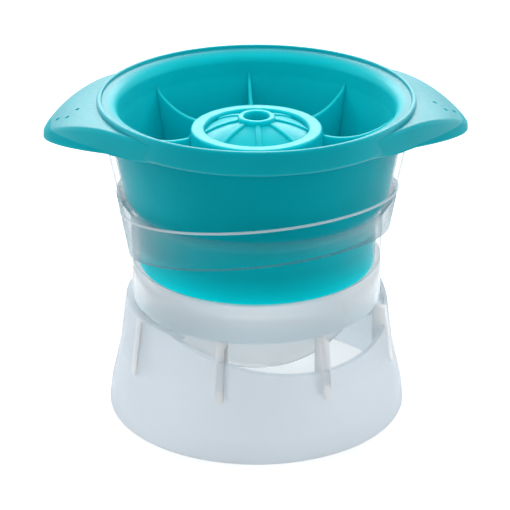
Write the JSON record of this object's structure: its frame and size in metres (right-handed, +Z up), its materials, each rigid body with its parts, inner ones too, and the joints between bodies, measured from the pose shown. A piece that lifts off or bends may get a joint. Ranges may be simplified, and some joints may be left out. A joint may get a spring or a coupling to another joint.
{
  "type": "ice ball mold",
  "caption": "Sphere ice mold: a silicone plug with finger tabs, webs and a filling hole, pressed into a translucent plastic base with a flared, finned foot.",
  "frame": {"origin": "centre of the foot, on the surface the mold stands on", "axes": "+Z up along the ball's axis, +X along the two finger tabs, -Y toward the viewer"},
  "size_m": [0.1192, 0.09, 0.0936],
  "materials": {
    "silicone": "satin teal silicone",
    "plastic": "translucent, lightly frosted polypropylene"
  },
  "bodies": {
    "base": {"plastic_base": "plastic"},
    "top": {"silicone_top": "silicone"}
  },
  "joints": [
    {"name": "top_lift", "type": "slide", "parent": "base", "child": "top", "axis": [0, 0, 1], "range_m": [0, 0.06]}
  ]
}
